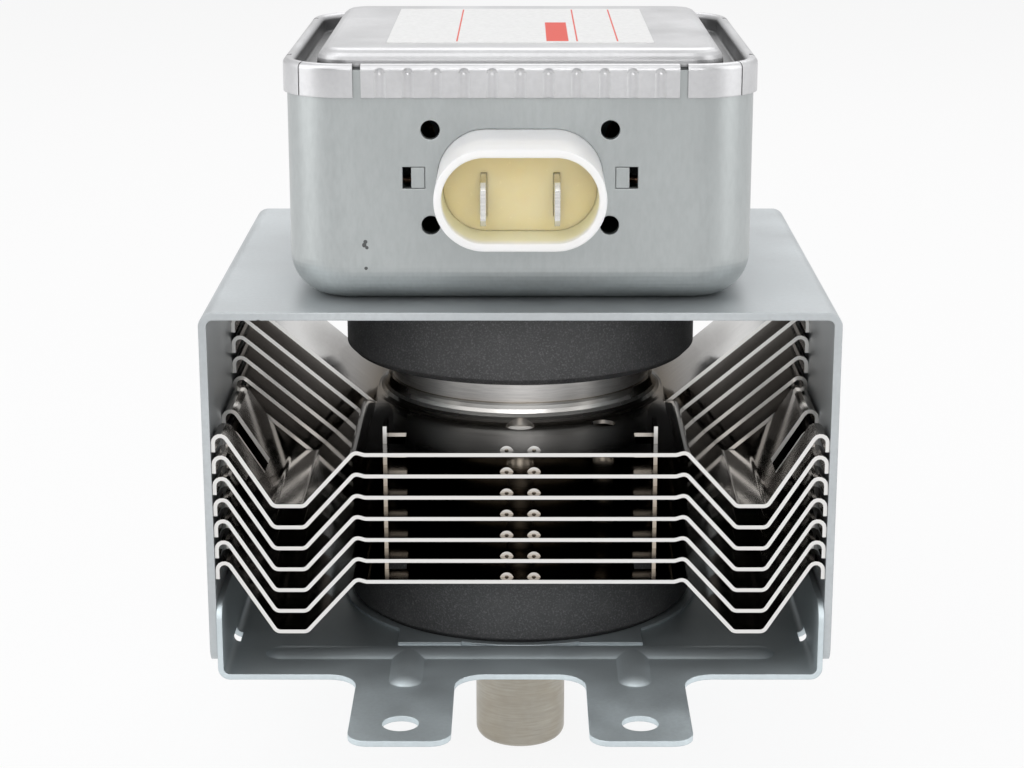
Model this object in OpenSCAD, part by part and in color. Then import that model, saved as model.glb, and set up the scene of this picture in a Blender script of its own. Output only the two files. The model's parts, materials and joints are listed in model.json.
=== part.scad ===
// Microwave-oven magnetron: a vacuum tube between two ring magnets in a folded steel yoke,
// with split cooling fins, a filter box on top and an antenna below.
// Millimetres, +Z up. The origin is on the tube axis at the underside of the mounting plate,
// and the terminals face -Y.

/* [Yoke] */
// Width across the outside of the side walls
yoke_w = 96.6; // [94:0.2:110]
// Depth of the yoke from its front edge to its back edge
yoke_d = 81; // [78:0.5:100]
// Thickness of the yoke's sheet
yoke_sheet = 1.2; // [1:0.1:1.6]
// Inside radius of the bends in the yoke
yoke_bend = 1; // [0.6:0.1:2]
// Height of the walls' lower ends over the plate's underside
wall_lift = 2.2; // [2:0.1:5]
// Radius of the walls' lower corners
wall_corner = 3; // [2:0.5:10]

/* [Mounting plate] */
// Thickness of the plate's sheet
plate_sheet = 0.85; // [0.7:0.05:1.4]
// Depth of the plate between its ears
plate_d = 82.4; // [81:0.2:100]
// Height of the upturned side flanges over the plate's underside
flange_h = 12.4; // [6:0.2:13]
// Distance between the mounting holes across the width
hole_pitch_x = 35.5; // [32:0.5:44]
// Distance between the mounting holes from front to back
hole_pitch_y = 120; // [115:0.5:140]
// Diameter of the mounting holes
hole_d = 5.5; // [4.2:0.1:6.5]
// Width of an ear
ear_w = 15.2; // [13:0.2:18]
// Distance from a mounting hole's centre to the tip of its ear
ear_tip = 6.4; // [5:0.2:9]
// Radius of the ear's tip corners
ear_corner = 3; // [1:0.5:5]
// Radius of the fillets where an ear leaves the plate
ear_fillet = 4.5; // [2:0.5:6]
// Width of the pressed beads at their foot
bead_w = 5.2; // [3.5:0.1:6]
// Width by which a bead's groove is narrower underneath
groove_less = 0.8; // [0.6:0.1:1.2]
// Height of the pressed beads
bead_h = 0.9; // [0.5:0.1:1.3]
// Length of the long beads, from end to end
bead_len = 81; // [60:1:82]
// Distance of the long beads from the plate's edge
bead_inset = 8.9; // [8:0.1:9.5]
// Reach of the short beads over the ears, past the plate's edge
bead_reach = 5; // [2:0.5:6]
// Height of the raised rim that centres the lower magnet
seat_h = 0.5; // [0.3:0.1:1]
// Width of that rim
seat_w = 1.2; // [0.8:0.1:1.5]
// Distance of the magnet stops' middles from the plate's middle
stop_x = 14.6; // [12:0.2:16]
// Width of a magnet stop
stop_w = 10.2; // [6:0.2:12]
// Distance of the stops' straight edges from the plate's middle
stop_y = 29; // [26:0.2:29.4]
// Distance of the relief slots in the bends from the plate's middle
relief_y = 25.3; // [20:0.5:30]
// Length of a relief slot
relief_len = 4; // [2:0.2:6]

/* [Magnets] */
// Outside diameter of the ring magnets
magnet_od = 57.8; // [52:0.2:58]
// Bore of the ring magnets
magnet_id = 21; // [20.6:0.1:24]
// Thickness of the ring magnets
magnet_t = 13.5; // [11:0.1:15]
// Chamfer on the magnets' edges
magnet_chamfer = 1; // [0.6:0.1:1.5]

/* [Tube] */
// Distance between the two magnets
tube_h = 29.6; // [29:0.2:34]
// Outside diameter of the anode cylinder
anode_d = 43; // [40:0.2:44]
// Wall of the anode cylinder
anode_wall = 2.2; // [1.8:0.1:3]
// Number of vanes
vane_count = 10; // [8:2:12]
// Thickness of a vane
vane_t = 2; // [1.6:0.1:2.2]
// Height of a vane
vane_h = 9.6; // [9:0.2:11]
// Radius of the space inside the vanes
vane_bore_r = 4.6; // [4.2:0.1:5]
// Radius to the middle of the inner strap rings
strap_r = 6.8; // [6.6:0.1:7]
// Distance between the middles of the inner and outer strap rings
strap_pitch = 1.3; // [1.2:0.1:1.5]
// Thickness of the strap rings
strap_t = 0.6; // [0.5:0.1:0.7]
// Height of the strap rings
strap_h = 1.2; // [1:0.1:1.4]
// Clearance between a strap ring and the vanes it passes by
strap_gap = 0.4; // [0.3:0.05:0.5]
// Thickness of the pole pieces
pole_t = 1.4; // [1.2:0.1:1.8]
// Depth of the pole pieces' cones
pole_depth = 5; // [4:0.2:5.6]
// Width of the pole pieces' flat brim
pole_brim = 3; // [2:0.2:4]
// Bore of the pole pieces
pole_bore_d = 9.6; // [9.4:0.1:11]
// Outside diameter of the seal cups
cup_d = 19.4; // [18:0.2:20]
// Sheet of the seal cups
cup_sheet = 0.8; // [0.6:0.1:1]
// Width of the seal that the ends of the cups give their insulators
cup_lip = 2; // [1.6:0.1:2.2]
// Height of the upper seal cup over the yoke
stem_rise = 6; // [4:0.5:9]
// Reach of the lower seal cup below the plate
output_drop = 5; // [4.8:0.1:7]

/* [Cathode] */
// Diameter of the stem insulator
stem_d = 17; // [15:0.2:17.6]
// Height of the stem insulator
stem_h = 11; // [8:0.5:13]
// Diameter of the cathode leads
lead_d = 1.3; // [1:0.1:1.5]
// Distance between the cathode leads at the stem
lead_pitch = 5; // [4.6:0.1:5.4]
// Height of the leads' ends over the stem insulator
lead_rise = 5; // [3:0.5:6]
// Diameter of the filament coil at the middle of its wire
filament_d = 4; // [3.6:0.1:4.4]
// Diameter of the filament wire
filament_wire = 0.5; // [0.4:0.05:0.6]
// Number of turns in the filament
filament_turns = 7; // [5:1:9]
// Diameter of the end hats
hat_d = 8; // [7:0.1:8.4]
// Thickness of the end hats
hat_t = 1.2; // [1:0.1:1.5]

/* [Antenna] */
// Diameter of the antenna cap
antenna_d = 15.4; // [13.4:0.1:16]
// Distance from the plate's underside to the tip of the antenna
antenna_reach = 27; // [24:0.5:32]
// Height of the antenna insulator
antenna_insulator_h = 7.6; // [6:0.2:9]
// Wall of the antenna cap
antenna_sheet = 0.6; // [0.5:0.1:0.8]
// Radius of the cap's lower edge
antenna_edge = 1.8; // [1:0.1:2.5]
// Wall of the antenna insulator
antenna_insulator_wall = 2; // [1.6:0.1:2.4]
// Diameter of the exhaust tube
exhaust_d = 7; // [6:0.2:8]
// Wall of the exhaust tube
exhaust_wall = 0.8; // [0.6:0.1:1]
// Distance of the exhaust tube's end from the cap's floor
exhaust_clear = 3; // [2:0.2:4]
// Diameter of the antenna lead
antenna_lead_d = 2.4; // [2:0.1:2.6]
// Radius at which the antenna lead joins a vane
antenna_lead_r = 10.2; // [10:0.1:11]
// Outside diameter of the gasket round the output
gasket_od = 32; // [28:0.5:36]
// Thickness of that gasket
gasket_t = 4.4; // [3:0.2:4.6]

/* [Cooling fins] */
// Number of fins
fin_count = 7; // [4:1:7]
// Thickness of the fins' sheet
fin_sheet = 0.6; // [0.4:0.05:0.7]
// Distance of the fins' edges behind the yoke's edges
fin_inset = 0.5; // [0:0.1:3]
// Depth of the top fin below the upper magnet
fin_first_drop = 7.7; // [7.5:0.1:10]
// Height of the lowest fin over the lower magnet
fin_last_gap = 1.4; // [0.6:0.05:2]
// Width of the flat middle of a fin, up to its folds
fin_flat_w = 50.6; // [50:0.2:53]
// Depth from front to back of the wings that are folded upwards
fin_mid_d = 23; // [20:0.5:30]
// Width of the cuts between the wings
fin_slit = 0.4; // [0.3:0.1:1]
// Height of the small crest just before the fold
crest_h = 0.45; // [0.2:0.05:0.6]
// Width of the crest
crest_w = 1.5; // [1:0.1:2]
// Depth of the folded-down valleys
valley_depth = 8.2; // [5:0.1:8.6]
// Width of the valleys' floors
valley_w = 4.7; // [3:0.1:5.5]
// Width of the slope between a valley and its hook
hook_run = 8.9; // [7:0.1:9.6]
// Height of the sharp corner that the outer hooks are rounded from
hook_rise = 5.7; // [5:0.1:6.2]
// Height of the sharp corner that the upward wings' hooks are rounded from
wing_rise = 19.3; // [15:0.1:20]
// Radius of the folds at the middle of the sheet
fin_bend = 1.1; // [0.6:0.05:1.2]
// Length of the straight lip below a hook's round
hook_lip = 1.5; // [0.8:0.1:2]
// Radius at the foot of the collar round the anode
collar_fillet = 2.4; // [0.8:0.1:2.6]
// Distance of the cut-out in a front wing from the fin's front edge
notch_inset = 6; // [4:0.2:8]
// Length of that cut-out along the edge
notch_len = 7.5; // [4:0.2:10]
// Width of that cut-out, measured from the wall
notch_w = 7.4; // [4:0.1:8]
// Distance of the lanced spacer tabs from the middle
spacer_x = 20.6; // [20:0.1:22]
// Distance of the spacer tabs from the fin's edge
spacer_inset = 5; // [4:0.1:6]
// Length of the spacer tabs
spacer_len = 5.8; // [4:0.1:6]
// Diameter of the locating hole at the foot of the collar
locate_d = 4.6; // [3:0.1:4.6]
// Distance of that hole from the axis
locate_r = 25.2; // [25:0.1:27]
// Diameter of the second locating hole
second_d = 3.8; // [3:0.1:4]
// Distance of the second locating hole from the axis
second_r = 27.2; // [26:0.1:28]
// Angle of the second locating hole from the first
second_angle = 29; // [25:1:40]
// Distance between the two bumps of a pair
bump_pitch = 4.2; // [3:0.1:6]
// Distance of the bumps' sheared faces from the fin's edge
bump_inset = 1.3; // [1:0.1:3]
// Height of the bumps
bump_h = 0.75; // [0.5:0.05:1]
// Radius of the bumps' domes
bump_r = 1.1; // [0.9:0.1:1.4]
// Radius of the mouth in each bump's sheared face
bump_mouth_r = 0.3; // [0.2:0.05:0.4]

/* [Filter box] */
// Width and depth of the filter box
box_w = 70.8; // [67:0.2:76]
// Height of the box with its lid's rim
box_h = 36.5; // [35:0.5:42]
// Sheet of the box
box_sheet = 0.8; // [0.6:0.1:1]
// Radius of the box's upright corners
box_corner = 9.5; // [9:0.1:12]
// Radius of the box's lower edge
box_edge = 6.5; // [3:0.1:7]
// Diameter of the holes in the box's front
vent_d = 2.9; // [2:0.1:3.4]
// Distance between those holes across the width
vent_pitch_x = 26.8; // [25.6:0.1:27]
// Distance between those holes in height
vent_pitch_z = 14.4; // [12:0.1:16]
// Width of the windows that the ground plate is staked into
window_w = 3.4; // [3:0.1:4]
// Height of those windows
window_h = 3.3; // [3:0.1:4]
// Width of the tongue that shows in such a window
tongue_w = 2; // [1.6:0.1:2.4]
// Distance between the middles of those windows
window_pitch = 31.8; // [31:0.1:33]

/* [Lid] */
// Sheet of the lid
lid_sheet = 0.5; // [0.4:0.05:0.6]
// Height of the lid's skirt
skirt_h = 5; // [4:0.1:6]
// Height of the lid's panel over its rim
panel_rise = 1.6; // [0.8:0.1:2]
// Depth of the trough inside the rim
trough_depth = 3.5; // [2.6:0.1:4]
// Width of the trough's floor
trough_w = 3.8; // [2:0.1:4]
// Radius of the lid's folds at the middle of the sheet
lid_bend = 0.65; // [0.55:0.05:0.7]
// Radius of the panel's edge at the middle of the sheet
panel_bend = 2; // [0.8:0.1:2.4]
// Distance between the crimp flutes of the skirt
flute_pitch = 4.15; // [3.5:0.05:6]
// Depth of the crimp flutes
flute_depth = 0.26; // [0.1:0.02:0.3]
// Radius of the crimp flutes
flute_r = 1.6; // [1:0.1:2]
// Radius of the dimple at the top of a flute
dimple_r = 0.9; // [0.6:0.1:1.2]
// Depth of that dimple
dimple_depth = 0.34; // [0.2:0.02:0.36]
// Length of a straight piece of the skirt between its corner slots
skirt_len = 47.2; // [42:0.2:49]
// Width of the slots in the skirt
slot_w = 1.2; // [0.6:0.1:1.5]
// Width of the slit in the middle of a corner
corner_slit = 0.2; // [0.15:0.05:0.8]
// Width of the blank label
label_w = 40.8; // [30:0.2:44]
// Depth of the blank label
label_d = 46.6; // [30:0.2:48]
// Thickness of the blank label
label_t = 0.1; // [0.08:0.01:0.2]

/* [Terminals] */
// Width of the terminal housing
housing_w = 24.7; // [23.6:0.1:25.4]
// Height of the terminal housing
housing_h = 14.6; // [13:0.1:15.4]
// Wall of the terminal housing
housing_wall = 1.1; // [0.9:0.05:1.4]
// Reach of the terminal housing in front of the box
housing_reach = 18.5; // [14:0.5:22]
// Reach of the terminal housing inside the box
housing_inside = 11; // [8:0.5:12]
// Height of the terminal housing's middle over the yoke
housing_z = 19.5; // [18:0.1:21]
// Depth of the potting's face behind the housing's rim
potting_depth = 9.5; // [7:0.5:18]
// Width of the terminal tabs
tab_w = 6.35; // [4.8:0.05:6.4]
// Thickness of the terminal tabs
tab_t = 0.8; // [0.5:0.1:1]
// Distance between the terminal tabs
tab_pitch = 10.6; // [9:0.1:12]
// Depth of the tabs' middles below the housing's middle
tab_drop = 0.8; // [0:0.1:1.2]
// Distance of the tabs' tips behind the housing's rim
tab_tip_depth = 0.8; // [0.5:0.1:4]
// Chamfer of the tabs' tips
tab_chamfer = 1; // [0.6:0.1:1.4]
// Diameter of the hole in a tab
tab_hole_d = 1.7; // [1.4:0.1:2]
// Reach of the tabs behind the potting, inside the box
tab_tail = 3; // [2:0.2:4]
// Width of the ground plate
ground_w = 36.4; // [36:0.1:40]
// Height of the ground plate
ground_h = 22; // [18:0.5:24]
// Thickness of the ground plate
ground_t = 0.8; // [0.6:0.1:1]

/* [Chokes] */
// Diameter of the choke cores
core_d = 5; // [4:0.1:5.4]
// Length of the choke cores
core_len = 22; // [16:0.5:24]
// Distance of the chokes from the middle
choke_x = 18; // [17:0.2:20]
// Diameter of the choke wire
choke_wire = 1.3; // [1:0.1:1.4]
// Distance of the choke cores behind the terminal tabs
core_clear = 1; // [0.5:0.1:3]
// Number of turns in a choke
choke_turns = 11; // [6:1:12]

/* [Clearances] */
// Clearance between pieces that fit into each other
fit_gap = 0.05; // [0.02:0.01:0.1]
// Clearance between pieces that pass each other
free_gap = 0.3; // [0.2:0.05:0.5]

/* [Hidden] */
$fn = 64;
big = 400;
overlap = 1;
arc_steps = 6;
edge_steps = 14;
section_start = 1;

yoke_h = plate_sheet + 2 * magnet_t + tube_h + yoke_sheet;
wall_in = yoke_w / 2 - yoke_sheet;
flange_out = wall_in - fit_gap;
seat_r = magnet_od / 2 + fit_gap;
lower_magnet_top = plate_sheet + magnet_t;
upper_magnet_bottom = lower_magnet_top + tube_h;
tube_mid = lower_magnet_top + tube_h / 2;

anode_r = anode_d / 2;
anode_in = anode_r - anode_wall;
anode_bottom = lower_magnet_top + cup_sheet;
anode_top = upper_magnet_bottom - cup_sheet;
cup_r = cup_d / 2;
stem_top = yoke_h + stem_rise;
output_bottom = -output_drop;

fin_d = yoke_d - 2 * fin_inset;
fin_pitch = (tube_h - fin_first_drop - fin_last_gap) / (fin_count - 1);
fin_first_z = upper_magnet_bottom - fin_first_drop;
lip_x = wall_in - fit_gap - fin_sheet / 2;
collar_in = anode_r + fit_gap;
collar_h = fin_pitch - fin_sheet - fit_gap;
spacer_h = fin_pitch - fin_sheet - fit_gap;

box_half = box_w / 2;
box_bottom = yoke_h;
lid_corner = box_corner + fit_gap + lid_sheet;
lid_half = box_half + fit_gap + lid_sheet;
rim_top = box_bottom + box_h;
wall_top = rim_top - lid_sheet / 2 - lid_bend;
panel_top = rim_top + panel_rise;
flute_top = rim_top - lid_bend - lid_sheet;
trough_z = rim_top - trough_depth;
housing_mid = box_bottom + housing_z;
rim_y = -box_half - housing_reach;
housing_back = -box_half + box_sheet + housing_inside;
tab_tip_y = rim_y + tab_tip_depth;
tab_end_y = housing_back + tab_tail;
tab_mid = housing_mid - tab_drop;
potting_y = rim_y + potting_depth;
lead_top = stem_top + stem_h + lead_rise;
hat_top_z = tube_mid + vane_h / 2 + hat_t;
hat_bottom_z = tube_mid - vane_h / 2 - hat_t;
cap_top = output_bottom - antenna_insulator_h;
cap_bottom = -antenna_reach;
lead_bend_r = cup_r - cup_sheet - antenna_lead_d / 2 - free_gap;
coil_r = core_d / 2 + free_gap + choke_wire / 2;
core_y = tab_end_y + core_clear;
choke_y0 = core_y + choke_wire / 2;

FINS = [for (i = [1 : fin_count]) str("cooling_fin_", i)];
VANES = [for (i = [1 : vane_count]) str("anode_vane_", i)];

// Outlines and paths
function unit(v) = v / norm(v);

// Points of the arc of radius r that rounds the corner b between a and c
function corner_arc(a, b, c, r, steps = arc_steps) =
    let (u = unit(a - b), w = unit(c - b))
    let (half = acos(u * w) / 2)
    let (mid = b + unit(u + w) * r / sin(half))
    let (from = b + u * r / tan(half) - mid, to = b + w * r / tan(half) - mid)
    let (start = atan2(from.y, from.x), end = atan2(to.y, to.x))
    let (sweep = (end - start + 540) % 360 - 180)
    [for (i = [0 : steps]) let (a = start + sweep * i / steps) mid + r * [cos(a), sin(a)]];

// Length from the corner b to where the arc of radius r begins
function corner_tangent(a, b, c, r) = r / tan(acos(unit(a - b) * unit(c - b)) / 2);

// An open path with its inner corners rounded, by one radius or a list of them
function rounded_path(pts, r, steps = arc_steps) = [
    pts[0],
    for (i = [1 : len(pts) - 2])
        each corner_arc(pts[i - 1], pts[i], pts[i + 1], is_list(r) ? r[i - 1] : r, steps),
    pts[len(pts) - 1]
];

// A closed outline whose corners [x, y, r] are rounded, or left sharp where r is 0
function rounded_loop(pts) = [
    for (i = [0 : len(pts) - 1])
        let (n = len(pts), p = pts[i], a = pts[(i + n - 1) % n], c = pts[(i + 1) % n])
        each p.z == 0 ? [[p.x, p.y]] : corner_arc([a.x, a.y], [p.x, p.y], [c.x, c.y], p.z)
];

// A point of the path moved sideways by half a sheet, with a true mitre
function side_point(path, i, h) =
    let (last = len(path) - 1)
    let (a = unit(path[max(i, 1)] - path[max(i, 1) - 1]))
    let (b = unit(path[min(i, last - 1) + 1] - path[min(i, last - 1)]))
    let (d = unit(a + b))
    path[i] + [-d.y, d.x] * h / (d * a);

// A folded sheet's section along a path
module ribbon(path, t) {
    last = len(path) - 1;
    polygon([
        for (i = [0 : last]) side_point(path, i, t / 2),
        for (i = [last : -1 : 0]) side_point(path, i, -t / 2)
    ]);
}

// A round wire along a path, with its rings turned towards a reference direction
module wire(path, d, up, sides = 8) {
    m = len(path);
    function along(i) = unit(path[min(i + 1, m - 1)] - path[max(i - 1, 0)]);
    points = [
        for (i = [0 : m - 1])
            let (t = along(i), b = unit(cross(t, up)), n = cross(b, t))
            for (j = [0 : sides - 1])
                path[i] + d / 2 * (n * cos(360 * j / sides) + b * sin(-360 * j / sides))
    ];
    walls = [
        for (i = [0 : m - 2], j = [0 : sides - 1])
            let (k = (j + 1) % sides)
            [i * sides + j, (i + 1) * sides + j, (i + 1) * sides + k, i * sides + k]
    ];
    start = [for (j = [0 : sides - 1]) j];
    end = [for (j = [sides - 1 : -1 : 0]) (m - 1) * sides + j];
    polyhedron(points, concat([start], walls, [end]));
}

module ring(r_out, r_in, z, h) {
    translate([0, 0, z]) {
        difference() {
            cylinder(r = r_out, h = h);
            translate([0, 0, -overlap]) cylinder(r = r_in, h = h + 2 * overlap);
        }
    }
}

// Places its children in the four corners' quadrants
module mirror_xy() {
    for (x = [0, 1], y = [0, 1]) mirror([x, 0, 0]) mirror([0, y, 0]) children();
}

module mirror_y() {
    for (y = [0, 1]) mirror([0, y, 0]) children();
}

// Extrudes a section in X and Z along Y, between two values of Y
module along_y(y0, y1) {
    translate([0, y1, 0]) rotate([90, 0, 0]) linear_extrude(y1 - y0) children();
}

// Sweeps a section round a square of half-width half with corner radius r.
// The section's x is measured from the corner's centre.
module sweep_square(half, r) {
    run = half - r;
    for (a = [0 : 90 : 270]) {
        rotate(a) {
            translate([run, run, 0]) rotate_extrude(angle = 90) children();
            translate([run, 0, 0]) rotate([90, 0, 0]) linear_extrude(2 * run, center = true) children();
        }
    }
}

// Fills the square that a swept section leaves open, at the height z
module square_floor(half, r, z, t) {
    side = 2 * (half - r) + 2 * section_start;
    translate([0, 0, z + t / 2]) cube([side, side, t], center = true);
}

module obround(w, h) {
    square([w - h, h], center = true);
    for (s = [-1, 1]) translate([s * (w - h) / 2, 0]) circle(d = h);
}

// Yoke
module yoke_section(w, h, bend) {
    translate([-w / 2, 0]) square([w, h - bend]);
    translate([bend - w / 2, 0]) square([w - 2 * bend, h]);
    for (s = [-1, 1]) translate([s * (w / 2 - bend), h - bend]) circle(bend);
}

module upper_yoke() {
    wall_h = yoke_h - wall_lift;
    color("lightsteelblue") difference() {
        translate([0, 0, wall_lift]) {
            intersection() {
                along_y(-yoke_d / 2, yoke_d / 2) difference() {
                    yoke_section(yoke_w, wall_h, yoke_bend + yoke_sheet);
                    translate([0, -overlap]) {
                        yoke_section(2 * wall_in, wall_h - yoke_sheet + overlap, yoke_bend);
                    }
                }
                rotate([90, 0, 90]) linear_extrude(big, center = true) {
                    rotate(180) translate([0, -wall_h]) yoke_section(yoke_d, wall_h, wall_corner);
                }
            }
        }
        translate([0, 0, yoke_h - yoke_sheet - overlap]) {
            cylinder(d = magnet_id, h = yoke_sheet + 2 * overlap);
        }
    }
}

module plate_outline() {
    x0 = hole_pitch_x / 2 - ear_w / 2;
    x1 = hole_pitch_x / 2 + ear_w / 2;
    x2 = flange_out - yoke_bend - plate_sheet;
    y1 = plate_d / 2;
    y2 = hole_pitch_y / 2 + ear_tip;
    for (a = [0, 180]) rotate(a) {
        polygon(rounded_loop([
            [-x2, 0, 0], [x2, 0, 0], [x2, y1, 0],
            [x1, y1, ear_fillet], [x1, y2, ear_corner], [x0, y2, ear_corner], [x0, y1, ear_fillet],
            [-x0, y1, ear_fillet], [-x0, y2, ear_corner], [-x1, y2, ear_corner], [-x1, y1, ear_fillet],
            [-x2, y1, 0]
        ]));
    }
}

// A pressed bead along X with a round back and round ends
module bead(len, w, h) {
    run = len - w;
    r = (w * w / 4 + h * h) / (2 * h);
    slope = asin(w / 2 / r);
    back = [
        for (i = [0 : arc_steps])
            let (a = slope * i / arc_steps)
            [r * sin(a), h - r + r * cos(a)]
    ];
    for (s = [0, 1]) mirror([0, s, 0]) rotate([90, 0, 90]) linear_extrude(run, center = true) {
        polygon(concat([[0, 0]], back));
    }
    for (s = [-1, 1]) translate([s * run / 2, 0, 0]) rotate_extrude() polygon(concat([[0, 0]], back));
}

module plate_beads(w) {
    bead_y = plate_d / 2 - bead_inset;
    short_len = bead_inset + bead_reach + bead_w / 2;
    mirror_y() translate([0, -bead_y, 0]) bead(bead_len - bead_w + w, w, bead_h);
    mirror_xy() translate([hole_pitch_x / 2, -bead_y + bead_w / 2 - short_len / 2, 0]) {
        rotate(90) bead(short_len - bead_w + w, w, bead_h);
    }
}

module magnet_stops() {
    difference() {
        mirror_xy() translate([stop_x - stop_w / 2, 0, plate_sheet]) cube([stop_w, stop_y, seat_h]);
        translate([0, 0, -overlap]) cylinder(r = seat_r, h = big);
    }
}

module lower_yoke() {
    out_bend = yoke_bend + plate_sheet;
    flange_in = flange_out - plate_sheet;
    color("slategray") difference() {
        union() {
            linear_extrude(plate_sheet) plate_outline();
            intersection() {
                along_y(-plate_d / 2, plate_d / 2) difference() {
                    translate([0, flange_h]) mirror([0, 1]) yoke_section(2 * flange_out, flange_h, out_bend);
                    translate([0, flange_h + overlap]) mirror([0, 1]) {
                        yoke_section(2 * flange_in, flange_h + overlap - plate_sheet, yoke_bend);
                    }
                }
                rotate([90, 0, 90]) linear_extrude(big, center = true) {
                    yoke_section(plate_d, flange_h, wall_corner);
                }
            }
            translate([0, 0, plate_sheet]) plate_beads(bead_w);
            ring(seat_r + seat_w, seat_r, plate_sheet, seat_h);
            magnet_stops();
        }
        mirror_xy() translate([flange_out - out_bend, relief_y - relief_len / 2, -overlap]) {
            cube([out_bend + overlap, relief_len, out_bend + overlap]);
        }
        plate_beads(bead_w - groove_less);
        translate([0, 0, -overlap]) cylinder(d = magnet_id, h = plate_sheet + 2 * overlap);
        mirror_xy() translate([hole_pitch_x / 2, hole_pitch_y / 2, -overlap]) {
            cylinder(d = hole_d, h = plate_sheet + bead_h + 2 * overlap);
        }
    }
}

// Magnets
module magnet(z) {
    r = magnet_od / 2;
    b = magnet_id / 2;
    c = magnet_chamfer;
    h = magnet_t;
    color("dimgray") translate([0, 0, z]) rotate_extrude() polygon([
        [b, c], [b + c, 0], [r - c, 0], [r, c], [r, h - c], [r - c, h], [b + c, h], [b, h - c]
    ]);
}

module upper_magnet() magnet(upper_magnet_bottom);
module lower_magnet() magnet(plate_sheet);

// Cooling fins
// The hooked end of a wing that comes from a point and rises to a sharp corner at the wall
function hook(from, rise) =
    let (corner = [lip_x, rise])
    let (end = rise - hook_lip - corner_tangent(from, corner, [lip_x, rise - 1], fin_bend))
    [corner, [lip_x, end]];

module fin_valley_wing() {
    flat = fin_flat_w / 2;
    out = [lip_x - hook_run, -valley_depth];
    path = concat(
        [[flat - crest_w - overlap, 0], [flat - crest_w, 0], [flat, crest_h]],
        [out - [valley_w, 0], out],
        hook(out, hook_rise)
    );
    ribbon(rounded_path(path, fin_bend), fin_sheet);
}

module fin_upward_wing() {
    fold = [fin_flat_w / 2 - crest_w, 0];
    path = concat([fold - [overlap, 0], fold], hook(fold, wing_rise));
    ribbon(rounded_path(path, fin_bend), fin_sheet);
}

module fin_collar() {
    foot = fin_sheet / 2;
    out = collar_in + fin_sheet;
    rotate_extrude() polygon(concat(
        [[collar_in, -foot], [collar_in, foot + collar_h], [out, foot + collar_h]],
        corner_arc([out, foot + collar_h], [out, foot], [out + big, foot], collar_fillet),
        [[out + collar_fillet, -foot]]
    ));
}

module fin_spacer() {
    edge = -fin_d / 2 + spacer_inset;
    translate([spacer_x, edge, -fin_sheet / 2]) cube([fin_sheet, spacer_len, fin_sheet + spacer_h]);
}

module fin_cuts() {
    edge = -fin_d / 2;
    mirror_xy() {
        translate([wall_in - notch_w, edge + notch_inset, -big / 2]) cube([notch_w, notch_len, big]);
        translate([spacer_x - spacer_h, edge + spacer_inset, -big / 2]) cube([spacer_h, spacer_len, big]);
    }
    for (a = [0, 180]) rotate(a) {
        translate([0, -locate_r, -big / 2]) cylinder(d = locate_d, h = big);
        rotate(second_angle) translate([0, -second_r, -big / 2]) cylinder(d = second_d, h = big);
    }
}

// Dome lanced out of the sheet and sheared off towards the fin's edge
module fin_bump() {
    difference() {
        intersection() {
            translate([0, 0, fin_sheet / 2 + bump_h - bump_r]) sphere(bump_r);
            translate([-bump_r, 0, 0]) cube(2 * bump_r);
        }
        translate([0, -overlap, fin_sheet / 2]) rotate([-90, 0, 0]) {
            cylinder(r = bump_mouth_r, h = bump_r / 2 + overlap);
        }
    }
}

module cooling_fin(i) {
    plate_w = fin_flat_w - 2 * crest_w;
    wing_y = fin_mid_d / 2 + fin_slit / 2;
    color("gainsboro") translate([0, 0, fin_first_z - (i - 1) * fin_pitch]) {
        difference() {
            union() {
                difference() {
                    translate([-plate_w / 2, -fin_d / 2, -fin_sheet / 2]) cube([plate_w, fin_d, fin_sheet]);
                    translate([0, 0, -big / 2]) cylinder(r = collar_in, h = big);
                }
                mirror_xy() along_y(-fin_d / 2, -wing_y) fin_valley_wing();
                for (s = [0, 1]) mirror([s, 0, 0]) {
                    along_y(fin_slit / 2 - fin_mid_d / 2, fin_mid_d / 2 - fin_slit / 2) fin_upward_wing();
                }
                fin_collar();
            }
            fin_cuts();
        }
        mirror_xy() fin_spacer();
        mirror_xy() translate([bump_pitch / 2, bump_inset - fin_d / 2, 0]) fin_bump();
    }
}

// Vacuum tube
module anode_cylinder() {
    color("silver") ring(anode_r, anode_in, anode_bottom, anode_top - anode_bottom);
}

module anode_vane(i) {
    out = anode_in - fit_gap;
    color("peru") rotate(360 * i / vane_count) translate([0, 0, tube_mid]) difference() {
        translate([vane_bore_r, -vane_t / 2, -vane_h / 2]) cube([out - vane_bore_r, vane_t, vane_h]);
        for (s = [-1, 1], k = [0, 1]) {
            deep = strap_h + ((i + k) % 2 == 0 ? fit_gap : strap_gap);
            r = strap_r + k * strap_pitch;
            translate([r, 0, s * (vane_h / 2 - deep / 2 + overlap / 2)]) {
                cube([strap_pitch + fit_gap, vane_t + 2 * overlap, deep + overlap], center = true);
            }
        }
    }
}

module strap_ring(k, side) {
    r = strap_r + k * strap_pitch;
    z = side > 0 ? tube_mid + vane_h / 2 - strap_h : tube_mid - vane_h / 2;
    color("chocolate") ring(r + strap_t / 2, r - strap_t / 2, z, strap_h);
}

module pole_piece() {
    r = anode_in - fit_gap;
    b = pole_bore_d / 2;
    rotate_extrude() polygon([
        [b, -pole_depth], [b + pole_t, -pole_depth], [r - pole_brim - pole_t, -pole_t], [r, -pole_t],
        [r, 0], [r - pole_brim, 0], [b + pole_t, pole_t - pole_depth], [b, pole_t - pole_depth]
    ]);
}

module upper_pole_piece() {
    color("gray") translate([0, 0, anode_top]) pole_piece();
}

module lower_pole_piece() {
    hole_r = (antenna_lead_r + lead_bend_r) / 2;
    hole = antenna_lead_r - lead_bend_r + antenna_lead_d + 2 * free_gap;
    color("gray") difference() {
        translate([0, 0, anode_bottom]) mirror([0, 0, 1]) pole_piece();
        translate([hole_r, 0, 0]) cylinder(d = hole, h = tube_mid);
    }
}

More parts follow.
